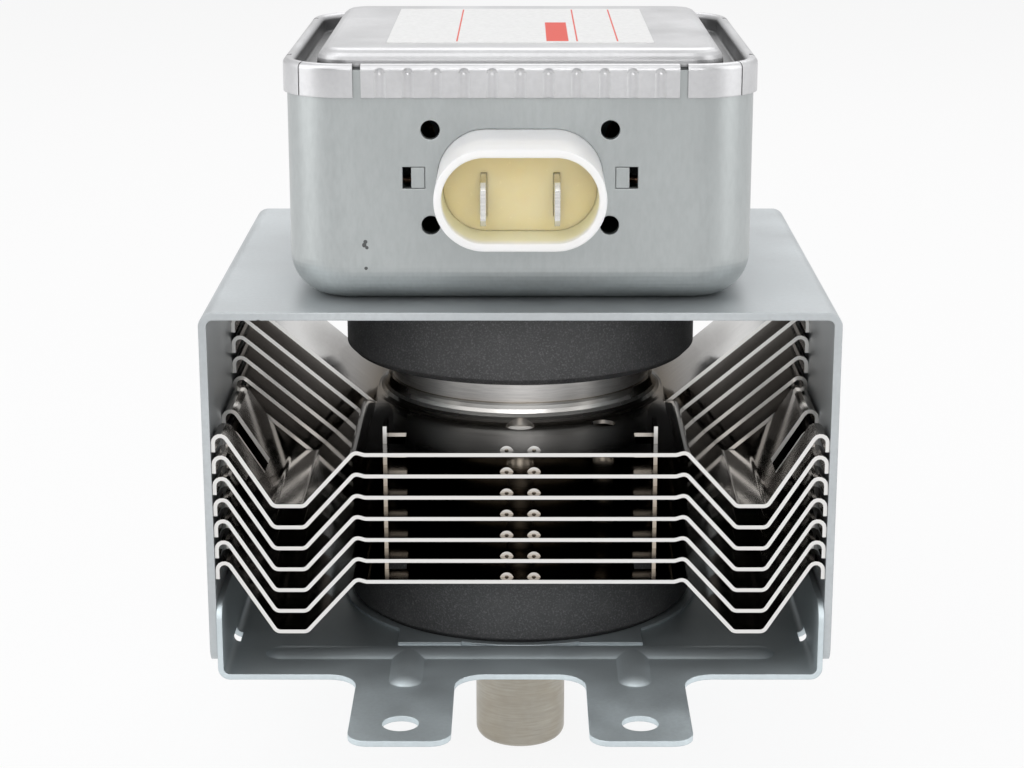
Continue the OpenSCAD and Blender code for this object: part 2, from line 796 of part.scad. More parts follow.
// A flanged cup from the anode's end through the magnet, with an inward lip at its far end
module seal_cup(len, lip_in) {
    rotate_extrude() polygon([
        [cup_r - cup_sheet, 0], [anode_r, 0], [anode_r, cup_sheet], [cup_r, cup_sheet],
        [cup_r, len], [lip_in, len], [lip_in, len - cup_sheet], [cup_r - cup_sheet, len - cup_sheet]
    ]);
}

module upper_seal_cup() {
    color("silver") translate([0, 0, anode_top]) seal_cup(stem_top - anode_top, stem_d / 2 - cup_lip);
}

module lower_seal_cup() {
    lip_in = antenna_d / 2 - cup_lip;
    color("silver") translate([0, 0, anode_bottom]) mirror([0, 0, 1]) {
        seal_cup(anode_bottom - output_bottom, lip_in);
    }
}

module stem_insulator() {
    hole = lead_d + 2 * fit_gap;
    color("lavenderblush") difference() {
        translate([0, 0, stem_top]) cylinder(d = stem_d, h = stem_h);
        for (s = [0, -1]) translate([s * lead_pitch, 0, stem_top - overlap]) {
            cylinder(d = hole, h = stem_h + 2 * overlap);
        }
    }
}

module cathode_lead_center() {
    color("dimgray") translate([0, 0, hat_bottom_z]) cylinder(d = lead_d, h = lead_top - hat_bottom_z);
}

module cathode_lead_side() {
    turn = stem_top - cup_sheet - lead_d;
    foot_x = -(lead_d + free_gap) - lead_d / 2;
    path = [
        [-lead_pitch, 0, lead_top], [-lead_pitch, 0, turn],
        [foot_x, 0, anode_top], [foot_x, 0, hat_top_z]
    ];
    color("dimgray") wire(path, lead_d, [0, 1, 0]);
}

module end_hat(z) {
    color("dimgray") ring(hat_d / 2, lead_d / 2 + fit_gap, z, hat_t);
}

module upper_end_hat() end_hat(hat_top_z - hat_t);
module lower_end_hat() end_hat(hat_bottom_z);

module cathode_filament() {
    steps = 14;
    span = vane_h - filament_wire - 2 * fit_gap;
    path = [
        for (i = [0 : filament_turns * steps])
            let (a = 360 * i / steps, f = i / (filament_turns * steps))
            [filament_d / 2 * cos(a), filament_d / 2 * sin(a), tube_mid + span * (f - 0.5)]
    ];
    color("darkgray") wire(path, filament_wire, [0, 0, 1], 6);
}

// Output
module antenna_insulator() {
    r = antenna_d / 2;
    color("lavenderblush") ring(r, r - antenna_insulator_wall, output_bottom - antenna_insulator_h,
        antenna_insulator_h);
}

module antenna_cap() {
    r = antenna_d / 2;
    color("tan") translate([0, 0, cap_bottom]) difference() {
        rotate_extrude() {
            square([r - antenna_edge, cap_top - cap_bottom]);
            translate([0, antenna_edge]) square([r, cap_top - cap_bottom - antenna_edge]);
            intersection() {
                translate([r - antenna_edge, antenna_edge]) circle(antenna_edge);
                square(r);
            }
        }
        translate([0, 0, antenna_sheet]) cylinder(r = r - antenna_sheet, h = big);
    }
}

module exhaust_tube() {
    r = exhaust_d / 2;
    brim = antenna_d / 2 - antenna_sheet - fit_gap;
    len = cap_top - cap_bottom - antenna_sheet - exhaust_clear;
    color("peru") translate([0, 0, cap_top - len]) {
        ring(r, r - exhaust_wall, 0, len);
        ring(brim, r - exhaust_wall, len - exhaust_wall, exhaust_wall);
    }
}

module antenna_lead() {
    bottom = cap_bottom + antenna_sheet + exhaust_clear;
    path = [
        [0, 0, bottom], [0, 0, (output_bottom + anode_bottom) / 2],
        [lead_bend_r, 0, anode_bottom], [antenna_lead_r, 0, anode_bottom + pole_depth - pole_t],
        [antenna_lead_r, 0, tube_mid - vane_h / 2]
    ];
    color("peru") wire(path, antenna_lead_d, [0, 1, 0], 12);
}

module rf_gasket() {
    in = cup_r + free_gap;
    edge = gasket_t / 4;
    color("goldenrod") rotate_extrude() polygon(rounded_loop([
        [in, -gasket_t, edge], [gasket_od / 2, -gasket_t, edge], [gasket_od / 2, 0, edge], [in, 0, edge]
    ]));
}

// Filter box
module front_cut(depth) {
    translate([0, -box_half - overlap, housing_mid]) rotate([-90, 0, 0]) {
        linear_extrude(depth + overlap) children();
    }
}

module filter_box() {
    wall_x = box_corner - box_sheet / 2;
    floor_z = box_bottom + box_sheet / 2;
    path = [[section_start / 2, floor_z], [wall_x, floor_z], [wall_x, wall_top]];
    color("lightgray") difference() {
        union() {
            sweep_square(box_half, box_corner) {
                ribbon(rounded_path(path, box_edge - box_sheet / 2, edge_steps), box_sheet);
            }
            square_floor(box_half, box_corner, box_bottom, box_sheet);
        }
        translate([0, 0, box_bottom - overlap]) cylinder(d = magnet_id, h = box_sheet + 2 * overlap);
        front_cut(2 * box_sheet) obround(housing_w + 2 * fit_gap, housing_h + 2 * fit_gap);
        for (x = [-1, 1], z = [-1, 1]) {
            front_cut(2 * box_sheet) {
                translate([x * vent_pitch_x / 2, z * vent_pitch_z / 2]) circle(d = vent_d);
            }
        }
        for (x = [-1, 1]) {
            front_cut(2 * box_sheet) {
                translate([x * window_pitch / 2, 0]) square([window_w, window_h], center = true);
            }
        }
    }
}

// The lid's section from the skirt over the rim and the trough to the panel
module lid_section() {
    s = lid_sheet;
    skirt_x = lid_corner - s / 2;
    rim_in = box_corner - box_sheet - fit_gap - s / 2;
    trough_in = rim_in - trough_w;
    ribbon(rounded_path([
        [skirt_x, rim_top - skirt_h], [skirt_x, rim_top - s / 2], [rim_in, rim_top - s / 2],
        [rim_in, trough_z + s / 2], [trough_in, trough_z + s / 2],
        [trough_in, panel_top - s / 2], [section_start / 2, panel_top - s / 2]
    ], [lid_bend, lid_bend, lid_bend, lid_bend, panel_bend]), s);
}

module skirt_slot(w) {
    translate([lid_half - lid_sheet - lid_bend, -w / 2, rim_top - skirt_h - overlap]) {
        cube([lid_sheet + lid_bend + overlap, w, skirt_h + 2 * overlap]);
    }
}

module skirt_flute() {
    foot = rim_top - skirt_h - overlap;
    translate([lid_half + flute_r - flute_depth, 0, foot]) cylinder(r = flute_r, h = flute_top - foot);
    translate([lid_half + dimple_r - dimple_depth, 0, flute_top]) sphere(dimple_r);
}

module filter_box_lid() {
    flutes = floor((skirt_len - flute_r) / flute_pitch / 2);
    run = lid_half - lid_corner;
    color("silver") difference() {
        union() {
            sweep_square(lid_half, lid_corner) lid_section();
            square_floor(lid_half, lid_corner, panel_top - lid_sheet, lid_sheet);
        }
        for (a = [0 : 90 : 270]) rotate(a) {
            for (i = [-flutes : flutes]) translate([0, i * flute_pitch, 0]) skirt_flute();
            for (s = [-1, 1]) translate([0, s * (skirt_len + slot_w) / 2, 0]) skirt_slot(slot_w);
            translate([run, run, 0]) rotate(45) translate([-run, 0, 0]) skirt_slot(corner_slit);
        }
    }
}

module lid_label() {
    color("white") translate([-label_w / 2, -label_d / 2, panel_top]) cube([label_w, label_d, label_t]);
}

// Terminals
module terminal_housing() {
    color("whitesmoke") translate([0, rim_y, housing_mid]) rotate([-90, 0, 0]) {
        linear_extrude(housing_back - rim_y) difference() {
            obround(housing_w, housing_h);
            obround(housing_w - 2 * housing_wall, housing_h - 2 * housing_wall);
        }
    }
}

module tab_slot(gap) {
    for (s = [-1, 1]) translate([s * tab_pitch / 2, tab_drop]) {
        square([tab_t + gap, tab_w + gap], center = true);
    }
}

module capacitor_potting() {
    w = housing_w - 2 * (housing_wall + fit_gap);
    h = housing_h - 2 * (housing_wall + fit_gap);
    color("khaki") translate([0, potting_y, housing_mid]) rotate([-90, 0, 0]) {
        linear_extrude(housing_back - potting_y) difference() {
            obround(w, h);
            tab_slot(2 * fit_gap);
        }
    }
}

module terminal_tab(side) {
    c = tab_chamfer;
    w = tab_w / 2;
    color("lightgray") translate([side * tab_pitch / 2 - tab_t / 2, 0, tab_mid]) {
        rotate([90, 0, 90]) linear_extrude(tab_t) difference() {
            polygon([
                [tab_tip_y, w - c], [tab_tip_y + c, w], [tab_end_y, w], [tab_end_y, -w],
                [tab_tip_y + c, -w], [tab_tip_y, c - w]
            ]);
            translate([tab_tip_y + tab_w / 2, 0]) circle(d = tab_hole_d);
        }
    }
}

module capacitor_ground_plate() {
    gap = 2 * fit_gap;
    tongue_x = window_pitch / 2 - window_w / 2 + gap;
    slot_x = tongue_x + tongue_w;
    slot = window_pitch / 2 + window_w / 2 - slot_x;
    color("silver") {
        translate([0, -box_half + box_sheet, housing_mid]) rotate([-90, 0, 0]) {
            linear_extrude(ground_t) difference() {
                square([ground_w, ground_h], center = true);
                obround(housing_w + gap, housing_h + gap);
                for (x = [-1, 1], z = [-1, 1]) {
                    translate([x * vent_pitch_x / 2, z * vent_pitch_z / 2]) circle(d = vent_d);
                }
                for (s = [0, 1]) mirror([s, 0]) translate([slot_x, -window_h / 2]) square([slot, window_h]);
            }
        }
        for (s = [0, 1]) mirror([s, 0, 0]) {
            translate([tongue_x, -box_half, housing_mid - window_h / 2 + gap]) {
                cube([tongue_w, box_sheet + ground_t, window_h - 2 * gap]);
            }
        }
    }
}

// Chokes
module choke_core(side) {
    color("dimgray") translate([side * choke_x, core_y, housing_mid]) {
        rotate([-90, 0, 0]) cylinder(d = core_d, h = core_len);
    }
}

module choke_coil(side) {
    steps = 12;
    pitch = (core_len - choke_wire) / choke_turns;
    tab_x = tab_pitch / 2 + tab_t / 2 + choke_wire / 2 + fit_gap;
    lead_x = side < 0 ? -lead_pitch : 0;
    coil = [
        for (i = [0 : choke_turns * steps])
            let (a = 90 + 360 * i / steps)
            [side * (choke_x - coil_r * cos(a)), choke_y0 + pitch * i / steps, housing_mid + coil_r * sin(a)]
    ];
    start = [side * tab_x, tab_end_y - tab_tail / 2, tab_mid + tab_w / 4];
    last = coil[len(coil) - 1];
    end = [lead_x + side * (lead_d / 2 + choke_wire / 2 + fit_gap), 0, last.z];
    color("chocolate") wire(concat([start], coil, [end]), choke_wire, [0, 1, 0]);
}

upper_yoke();
lower_yoke();
upper_magnet();
lower_magnet();
for (i = [1 : fin_count]) cooling_fin(i);
anode_cylinder();
for (i = [1 : vane_count]) anode_vane(i);
strap_ring(0, 1);  // strap_ring_upper_inner
strap_ring(1, 1);  // strap_ring_upper_outer
strap_ring(0, -1);  // strap_ring_lower_inner
strap_ring(1, -1);  // strap_ring_lower_outer
upper_pole_piece();
lower_pole_piece();
upper_seal_cup();
lower_seal_cup();
stem_insulator();
cathode_lead_center();
cathode_lead_side();
cathode_filament();
upper_end_hat();
lower_end_hat();
antenna_insulator();
antenna_lead();
exhaust_tube();
antenna_cap();
rf_gasket();
filter_box();
filter_box_lid();
lid_label();
terminal_housing();
capacitor_potting();
capacitor_ground_plate();
terminal_tab(-1);  // terminal_tab_left
terminal_tab(1);  // terminal_tab_right
choke_core(-1);  // choke_core_left
choke_core(1);  // choke_core_right
choke_coil(-1);  // choke_coil_left
choke_coil(1);  // choke_coil_right
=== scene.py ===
"""Looks of a microwave-oven magnetron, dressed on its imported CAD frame. Metres, +Z up."""

import json
import math

import bpy
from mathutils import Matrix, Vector


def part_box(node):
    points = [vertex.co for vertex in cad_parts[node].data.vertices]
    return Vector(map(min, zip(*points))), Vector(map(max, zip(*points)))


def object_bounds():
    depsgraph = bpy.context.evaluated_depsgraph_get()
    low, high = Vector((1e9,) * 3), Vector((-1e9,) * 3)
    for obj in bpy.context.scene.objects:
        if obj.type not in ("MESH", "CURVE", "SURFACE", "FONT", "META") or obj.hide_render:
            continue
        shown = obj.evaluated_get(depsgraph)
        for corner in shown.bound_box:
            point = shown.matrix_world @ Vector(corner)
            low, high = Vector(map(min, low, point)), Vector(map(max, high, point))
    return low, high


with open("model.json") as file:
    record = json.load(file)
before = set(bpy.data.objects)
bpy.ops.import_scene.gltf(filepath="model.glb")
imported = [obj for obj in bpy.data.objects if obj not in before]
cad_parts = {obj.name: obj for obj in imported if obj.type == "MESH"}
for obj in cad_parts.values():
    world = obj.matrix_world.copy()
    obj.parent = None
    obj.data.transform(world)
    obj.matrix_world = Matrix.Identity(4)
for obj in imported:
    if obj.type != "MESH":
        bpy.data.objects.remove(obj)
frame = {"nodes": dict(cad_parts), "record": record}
cad_box = [list(corner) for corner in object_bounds()]
scene = bpy.context.scene
MM = 0.001
WHITE = (1, 1, 1, 1)

# Camera: above and in front of the terminals
PITCH = math.radians(15.4)
CAMERA_AT = Vector((0, -377.9, 140.55)) * MM

# Where the fins' flat middle goes over into the wings, and where a wing has risen out of the painted shade
# of its valley
FIN_BEND = (24 * MM, 28 * MM)
WING_RISE = (37 * MM, 44 * MM)

# The painted yellow light on the socket's inner wall fades out this far into its wall, and sets in this
# far behind its mouth
YELLOW_LIGHT_IN_WALL = (0.15 * MM, 0.55 * MM)
YELLOW_LIGHT_BEHIND_MOUTH = (0.3 * MM, 2.9 * MM)

# Fields of colour on the label: the block's limits in X and Y, and the thin rules along Y
LABEL_BLOCK = (4.0 * MM, 7.4 * MM, -21.8 * MM, 3.0 * MM)
RULES_X = (-9.7 * MM, 8.7 * MM, 14.9 * MM)
RULE_HALF_WIDTH = 0.12 * MM
RULE_HALF_LENGTH = 22 * MM
FIELD_BLUR = 0.05 * MM

# Rubbed marks: X, Y, Z and radius in millimetres
BOX_MARKS = (
    (-23.3, -35.4, 68.4, 0.3),
    (-23.5, -35.4, 67.9, 0.34),
    (-23.1, -35.4, 67.5, 0.26),
    (-23.3, -35.4, 64.3, 0.28),
)
YOKE_MARKS = ((-39.2, -40.5, 57.2, 0.4),)
# How ragged and how soft a mark's edge is, as shares of its radius
MARK_RAGGED = 0.6
MARK_BLUR = 0.1

# Range that most of a noise's values lie in
NOISE_SPAN = (0.3, 0.7)

# Brightness of the room that metal mirrors, behind the camera and at the back
ROOM_DIM = 0.3
BACK_DIM = 0.68
# How far a direction leans to the front or the back where the dimming starts, and where it is full
DIM_START = 0.4
DIM_FULL = 0.9
# Light that the room gives to matt faces
FILL = (0.42, 0.42, 0.43, 1)
# Share of plain white in the floor; the rest takes the object's shadow
FLOOR_WHITE = 0.87
FLOOR_HALF = 6.0
# Point that all lamps are turned to
LAMP_AIM = Vector((0, 0, 0.05))

camera_data = bpy.data.cameras.new("camera")
camera_data.sensor_width = 36
camera_data.lens = 81.6
camera_data.shift_x = -0.0081
camera_data.clip_start = 0.01
camera_data.clip_end = 50
camera = bpy.data.objects.new("camera", camera_data)
camera.location = CAMERA_AT
camera.rotation_euler = (math.pi / 2 - PITCH, 0, 0)
scene.collection.objects.link(camera)
scene.camera = camera
scene.view_settings.view_transform = "Standard"


# Node helpers: all but add and feed give back output sockets
def add(tree, kind, **settings):
    node = tree.nodes.new(kind)
    for key, value in settings.items():
        setattr(node, key, value)
    return node


def feed(tree, source, socket):
    """Sets a socket to a number or colour, or links another socket to it."""
    if isinstance(source, bpy.types.NodeSocket):
        tree.links.new(source, socket)
    else:
        socket.default_value = source


def math_node(tree, operation, a, b=0.0):
    node = add(tree, "ShaderNodeMath", operation=operation)
    feed(tree, a, node.inputs[0])
    feed(tree, b, node.inputs[1])
    return node.outputs[0]


def place(tree, stretch=(1, 1, 1)):
    """Object coordinates in metres, stretched along the axes."""
    coord = add(tree, "ShaderNodeTexCoord")
    mapping = add(tree, "ShaderNodeMapping")
    mapping.inputs["Scale"].default_value = stretch
    tree.links.new(coord.outputs["Object"], mapping.inputs["Vector"])
    return mapping.outputs["Vector"]


def noise(tree, scale, detail=3.0, rough=0.55, stretch=(1, 1, 1)):
    node = add(tree, "ShaderNodeTexNoise")
    tree.links.new(place(tree, stretch), node.inputs["Vector"])
    node.inputs["Scale"].default_value = scale
    node.inputs["Detail"].default_value = detail
    node.inputs["Roughness"].default_value = rough
    return node.outputs["Fac"]


def remap(tree, value, low, high, to_low=0, to_high=1, smooth=False):
    """Takes a value from one range to another, and holds it at the ends."""
    node = add(tree, "ShaderNodeMapRange", clamp=True)
    if smooth:
        node.interpolation_type = "SMOOTHSTEP"
    feed(tree, value, node.inputs["Value"])
    for name, number in (("From Min", low), ("From Max", high), ("To Min", to_low), ("To Max", to_high)):
        node.inputs[name].default_value = number
    return node.outputs["Result"]


def mix(tree, factor, a, b):
    """Goes from colour a to colour b. The numbers pick the colour sockets among those of the same name."""
    node = add(tree, "ShaderNodeMix", data_type="RGBA")
    feed(tree, factor, node.inputs[0])
    feed(tree, a, node.inputs[6])
    feed(tree, b, node.inputs[7])
    return node.outputs[2]


def bump(tree, height, strength, depth_mm, normal=None):
    node = add(tree, "ShaderNodeBump")
    node.inputs["Strength"].default_value = strength
    node.inputs["Distance"].default_value = depth_mm * MM
    tree.links.new(height, node.inputs["Height"])
    if normal is not None:
        tree.links.new(normal, node.inputs["Normal"])
    return node.outputs["Normal"]


def soft_edges(tree, radius_mm):
    node = add(tree, "ShaderNodeBevel", samples=4)
    node.inputs["Radius"].default_value = radius_mm * MM
    return node.outputs["Normal"]


def xyz(tree):
    """The three object coordinates in metres."""
    coord = add(tree, "ShaderNodeTexCoord")
    split = add(tree, "ShaderNodeSeparateXYZ")
    tree.links.new(coord.outputs["Object"], split.inputs[0])
    return split.outputs


def faces_along_y(tree):
    """1 on faces square to Y, on either side, and 0 on faces along it."""
    geometry = add(tree, "ShaderNodeNewGeometry")
    split = add(tree, "ShaderNodeSeparateXYZ")
    tree.links.new(geometry.outputs["Normal"], split.inputs[0])
    return math_node(tree, "ABSOLUTE", split.outputs["Y"])


def openness(tree, reach_mm):
    """1 on open faces, towards 0 in narrow gaps."""
    node = add(tree, "ShaderNodeAmbientOcclusion", samples=6)
    node.inputs["Distance"].default_value = reach_mm * MM
    return node.outputs["AO"]


def spots(tree, points_mm):
    """Marks at given places and radii, with a ragged edge."""
    coord = place(tree)
    ragged = noise(tree, 900, 2)
    total = None
    for x, y, z, radius_mm in points_mm:
        radius = radius_mm * MM
        distance = add(tree, "ShaderNodeVectorMath", operation="DISTANCE")
        tree.links.new(coord, distance.inputs[0])
        distance.inputs[1].default_value = Vector((x, y, z)) * MM
        reach = math_node(tree, "MULTIPLY_ADD", ragged, MARK_RAGGED * radius)
        reach.node.inputs[2].default_value = radius * (1 - MARK_RAGGED / 2)
        near = math_node(tree, "SUBTRACT", reach, distance.outputs["Value"])
        mark = remap(tree, near, -MARK_BLUR * radius, MARK_BLUR * radius)
        total = mark if total is None else math_node(tree, "MAXIMUM", total, mark)
    return total


def band(tree, value, low, high):
    """1 between two limits and 0 beyond them."""
    over = remap(tree, value, low - FIELD_BLUR, low + FIELD_BLUR)
    under = remap(tree, value, high - FIELD_BLUR, high + FIELD_BLUR, 1, 0)
    return math_node(tree, "MULTIPLY", over, under)


# Material helpers
def new_material(name, **sockets):
    material = bpy.data.materials.new(name)
    material.use_nodes = True
    shader = material.node_tree.nodes["Principled BSDF"]
    for key, value in sockets.items():
        shader.inputs[key.replace("_", " ")].default_value = value
    return material, material.node_tree, shader


def let_light_in(shader, weight, reach_mm, radius):
    """Spreads light under the surface, as resin and plastic do."""
    shader.inputs["Subsurface Weight"].default_value = weight
    shader.inputs["Subsurface Scale"].default_value = reach_mm * MM
    shader.inputs["Subsurface Radius"].default_value = radius


def rgb(r, g, b):
    return (r, g, b, 1)


def scaled(color, k):
    return (color[0] * k, color[1] * k, color[2] * k, 1)


# Materials
def zinc(name, color, rough, marks=(), streak=(1, 1, 1), hollow_shade=None):
    """Zinc-plated sheet steel, cloudy and grained. Its last argument paints shade into hollows: their
    width in mm, and the brightness of the painted shade in them.
    """
    material, tree, shader = new_material(name, Metallic=0.8)
    cloud = noise(tree, 45, 4, 0.6, streak)
    grain = noise(tree, 1400, 2, 0.6, streak)
    base = mix(tree, remap(tree, cloud, *NOISE_SPAN), scaled(color, 0.9), scaled(color, 1.06))
    base = mix(tree, remap(tree, grain, 0.35, 0.75, 0, 0.35), base, scaled(color, 0.8))
    if marks:
        worn = math_node(tree, "MULTIPLY", spots(tree, marks), 0.85)
        base = mix(tree, worn, base, rgb(0.05, 0.05, 0.05))
    # Painted shade: faces in hollows narrower than the given width are darkened towards the painted
    # shade's brightness
    if hollow_shade:
        reach_mm, brightness = hollow_shade
        unshaded = remap(tree, openness(tree, reach_mm), 0.5, 0.85)
        base = mix(tree, unshaded, scaled(color, brightness), base)
    wide = noise(tree, 90, 3, 0.5, streak)
    feed(tree, base, shader.inputs["Base Color"])
    feed(tree, remap(tree, wide, *NOISE_SPAN, rough - 0.05, rough + 0.07), shader.inputs["Roughness"])
    feed(tree, bump(tree, grain, 0.25, 0.03, soft_edges(tree, 0.25)), shader.inputs["Normal"])
    return material


def make_fin():
    """Rolled aluminium sheet with painted light and shade: the flat middle is painted dark, with brownish
    painted shade in the narrow gaps and a dark painted reflection on its open top face; the valleys carry
    painted shade, the wings are bright where they rise into open air, and the pale cut edges are painted
    darker in narrow gaps.
    """
    material, tree, shader = new_material("fin_aluminium", Metallic=1.0)
    roll = remap(tree, noise(tree, 160, 3, 0.6, (1, 12, 1)), *NOISE_SPAN)
    open_air = openness(tree, 9)
    frontal = faces_along_y(tree)
    x, _, z = xyz(tree)

    # Where a point lies on the fin, and how open it is: aired and lit steer the painted shade and light
    # below
    side = remap(tree, math_node(tree, "ABSOLUTE", x), *FIN_BEND)
    risen = remap(tree, z, *WING_RISE)
    aired = remap(tree, open_air, 0.25, 0.6)
    upright = remap(tree, frontal, 0.25, 0.6)
    edge = remap(tree, frontal, 0.85, 0.97)
    lit = math_node(tree, "MULTIPLY", remap(tree, open_air, 0.42, 0.82), risen)

    # Flat middle with its collar, painted darker than bare aluminium: brownish painted shade in the narrow
    # gaps, a dark painted reflection on the open top face, and painted shade on the collar in narrow gaps
    gap_shade = mix(tree, roll, rgb(0.33, 0.285, 0.235), rgb(0.40, 0.35, 0.29))
    deck_dark_reflection = mix(tree, roll, rgb(0.17, 0.168, 0.165), rgb(0.21, 0.207, 0.203))
    collar = mix(tree, aired, rgb(0.48, 0.44, 0.39), rgb(0.86, 0.84, 0.81))
    middle = mix(tree, upright, mix(tree, aired, gap_shade, deck_dark_reflection), collar)

    # Wings with painted shade in their valleys and bright where they rise into open air, and the sheet's
    # cut edges with painted shade where they lie in narrow gaps
    valley = mix(tree, roll, rgb(0.15, 0.135, 0.12), rgb(0.2, 0.18, 0.16))
    wing = mix(tree, roll, rgb(0.90, 0.89, 0.875), rgb(0.96, 0.95, 0.935))
    face = mix(tree, side, middle, mix(tree, lit, valley, wing))
    # Painted shade: cut edges turn darker where little open air reaches them
    cut = mix(tree, remap(tree, open_air, 0.2, 0.6), rgb(0.66, 0.64, 0.61), rgb(0.82, 0.81, 0.79))

    # Outside the wings and upright faces the reflections get a grey tint, a painted darkening of the flat
    # middle's reflections
    shine = math_node(tree, "MAXIMUM", side, upright)
    rough = remap(tree, noise(tree, 60, 3), *NOISE_SPAN, 0.08, 0.14)
    rough = math_node(tree, "MAXIMUM", rough, math_node(tree, "MULTIPLY", upright, 0.32))
    feed(tree, mix(tree, edge, face, cut), shader.inputs["Base Color"])
    feed(tree, mix(tree, shine, rgb(0.45, 0.45, 0.45), WHITE), shader.inputs["Specular Tint"])
    feed(tree, rough, shader.inputs["Roughness"])
    feed(tree, bump(tree, roll, 0.12, 0.02), shader.inputs["Normal"])
    return material


def make_ferrite():
    """Sintered ferrite: dark, matt and finely grained."""
    material, tree, shader = new_material("ferrite")
    grain = noise(tree, 3400, 2, 0.65)
    coarse = noise(tree, 300, 3, 0.6)
    base = mix(tree, remap(tree, coarse, *NOISE_SPAN), rgb(0.044, 0.044, 0.045), rgb(0.062, 0.062, 0.063))
    base = mix(tree, remap(tree, grain, 0.5, 0.75), base, rgb(0.135, 0.135, 0.138))
    feed(tree, base, shader.inputs["Base Color"])
    feed(tree, remap(tree, coarse, *NOISE_SPAN, 0.45, 0.6), shader.inputs["Roughness"])
    feed(tree, bump(tree, grain, 0.5, 0.12, soft_edges(tree, 0.4)), shader.inputs["Normal"])
    return material


def make_turned(name, color, rough, warm=None):
    """Drawn or turned metal with faint lines round its axis. warm is the colour of its clouds, if any."""
    material, tree, shader = new_material(name, Metallic=1.0)
    line = noise(tree, 240, 3, 0.6, (1, 1, 14))
    cloud = noise(tree, 130, 3)
    base = mix(tree, remap(tree, line, *NOISE_SPAN), scaled(color, 0.88), scaled(color, 1.08))
    if warm is not None:
        base = mix(tree, remap(tree, cloud, 0.42, 0.68, 0, 0.6), base, warm)
    feed(tree, base, shader.inputs["Base Color"])
    feed(tree, remap(tree, cloud, *NOISE_SPAN, rough - 0.05, rough + 0.07), shader.inputs["Roughness"])
    feed(tree, bump(tree, line, 0.1, 0.05, soft_edges(tree, 0.2)), shader.inputs["Normal"])
    return material


def make_smooth(name, low, high, rough, scale=60, coat=0.0, scatter=0.0):
    """A smooth material with cloudy colour and a slightly uneven surface."""
    material, tree, shader = new_material(name, Coat_Weight=coat)
    let_light_in(shader, scatter, 2, (1, 0.85, 0.5))
    cloud = noise(tree, scale, 4, 0.6)
    fine = noise(tree, 900, 2)
    feed(tree, mix(tree, remap(tree, cloud, 0.32, 0.68), low, high), shader.inputs["Base Color"])
    feed(tree, remap(tree, fine, *NOISE_SPAN, rough - 0.04, rough + 0.06), shader.inputs["Roughness"])
    feed(tree, bump(tree, fine, 0.15, 0.04, soft_edges(tree, 0.3)), shader.inputs["Normal"])
    return material


def inside_socket(tree):
    """1 on the socket's inner wall, 0 at its mouth and outside. The socket is a slot with round ends."""
    low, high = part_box("terminal_housing")
    potting_low, potting_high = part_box("capacitor_potting")
    middle_z = (low.z + high.z) / 2
    end_x = high.x - (high.z - low.z) / 2
    inner_radius = (potting_high.z - potting_low.z) / 2

    x, y, z = xyz(tree)
    beyond = math_node(tree, "SUBTRACT", math_node(tree, "ABSOLUTE", x), end_x)
    across = math_node(tree, "MAXIMUM", beyond, 0.0)
    rise = math_node(tree, "SUBTRACT", z, middle_z)
    across_squared = math_node(tree, "MULTIPLY", across, across)
    rise_squared = math_node(tree, "MULTIPLY", rise, rise)
    radius = math_node(tree, "SQRT", math_node(tree, "ADD", across_squared, rise_squared))

    full, gone = (inner_radius + past for past in YELLOW_LIGHT_IN_WALL)
    start, end = (low.y + depth for depth in YELLOW_LIGHT_BEHIND_MOUTH)
    within = remap(tree, radius, full, gone, 1, 0)
    return math_node(tree, "MULTIPLY", within, remap(tree, y, start, end))


def make_housing():
    """White plastic, with painted yellow light from the potting on the socket's inner wall."""
    material, tree, shader = new_material("white_plastic", Roughness=0.4)
    let_light_in(shader, 0.75, 3, (1, 0.97, 0.9))
    cloud = remap(tree, noise(tree, 60, 4, 0.6), 0.32, 0.68)
    plastic = mix(tree, cloud, rgb(0.91, 0.90, 0.88), rgb(0.95, 0.945, 0.93))
    # Painted yellow light: the socket's inner wall takes a pale yellow, the potting's light thrown onto
    # it, in place of the plastic's white
    base = mix(tree, inside_socket(tree), plastic, rgb(0.99, 0.92, 0.65))
    feed(tree, base, shader.inputs["Base Color"])
    feed(tree, bump(tree, noise(tree, 900, 2), 0.15, 0.04, soft_edges(tree, 0.3)), shader.inputs["Normal"])
    return material


def make_label():
    """White paper with plain fields of colour and no lettering."""
    material, tree, shader = new_material("label_paper", Roughness=0.5, Specular_IOR_Level=0.2)
    fibre = noise(tree, 1200, 3)
    color = mix(tree, remap(tree, fibre, 0.35, 0.65), rgb(0.83, 0.83, 0.82), rgb(0.9, 0.9, 0.89))
    x, y, _ = xyz(tree)
    fields = [LABEL_BLOCK]
    for rule_x in RULES_X:
        left = rule_x - RULE_HALF_WIDTH
        right = rule_x + RULE_HALF_WIDTH
        fields.append((left, right, -RULE_HALF_LENGTH, RULE_HALF_LENGTH))
    for x_low, x_high, y_low, y_high in fields:
        inside = math_node(tree, "MULTIPLY", band(tree, x, x_low, x_high), band(tree, y, y_low, y_high))
        color = mix(tree, inside, color, rgb(0.78, 0.09, 0.06))
    feed(tree, color, shader.inputs["Base Color"])
    feed(tree, bump(tree, fibre, 0.1, 0.02), shader.inputs["Normal"])
    return material


def make_gasket():
    """Knitted brass wire, as a fine woven relief."""
    material, tree, shader = new_material("gasket_mesh", Metallic=1.0, Roughness=0.36)
    knit = add(tree, "ShaderNodeTexVoronoi")
    knit.inputs["Scale"].default_value = 1100
    tree.links.new(place(tree), knit.inputs["Vector"])
    relief = knit.outputs["Distance"]
    # Darker brown towards the cell borders, painted shade between the wire loops
    base = mix(tree, remap(tree, relief, 0.1, 0.6), rgb(0.62, 0.5, 0.3), rgb(0.2, 0.15, 0.08))
    feed(tree, base, shader.inputs["Base Color"])
    feed(tree, bump(tree, relief, 0.8, 0.3), shader.inputs["Normal"])
    return material


